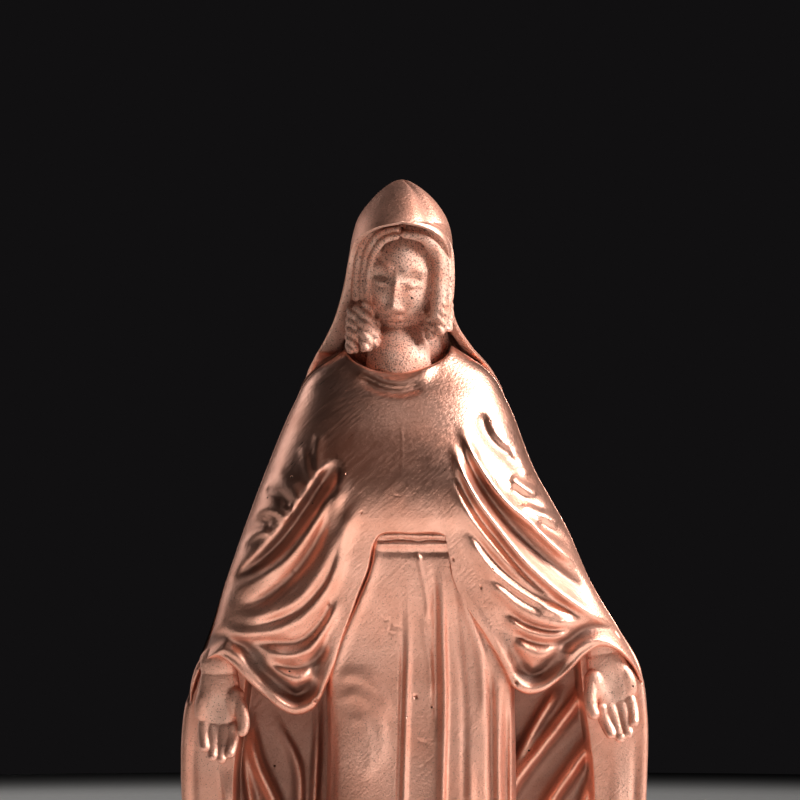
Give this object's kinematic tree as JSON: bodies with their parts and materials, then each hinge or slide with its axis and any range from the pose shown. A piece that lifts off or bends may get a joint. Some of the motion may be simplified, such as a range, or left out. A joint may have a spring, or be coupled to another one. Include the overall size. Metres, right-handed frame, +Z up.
{
  "type": "madonna statuette",
  "caption": "Standing veiled madonna with lowered open hands, cast in copper sections pinned to a common back and drawn down on an oval plinth by a tie rod.",
  "frame": {"origin": "centre of the underside of the felt pad", "axes": "+Z up along the figure, -Y the way the figure faces, +X to the figure's left hand"},
  "size_m": [0.061, 0.041, 0.1499],
  "materials": {
    "polished_copper": "cast copper, polished, lacquered",
    "rough_copper": "copper left as cast, porous and matt",
    "steel": "plain turned steel",
    "felt": "dark brown felt"
  },
  "bodies": {
    "root": {"mantle": "polished_copper", "bodice": "polished_copper", "skirt": "polished_copper", "veil": "polished_copper", "head": "rough_copper", "right_hand": "rough_copper", "left_hand": "rough_copper", "right_foot": "polished_copper", "left_foot": "polished_copper", "globe": "polished_copper", "plinth": "polished_copper", "felt_pad": "felt", "neck_dowel": "steel", "right_wrist_dowel": "steel", "left_wrist_dowel": "steel", "right_bodice_dowel": "steel", "left_bodice_dowel": "steel", "upper_skirt_dowel": "steel", "lower_skirt_dowel": "steel", "tie_rod": "steel", "rod_washer": "steel", "rod_nut": "steel"}
  },
  "joints": []
}
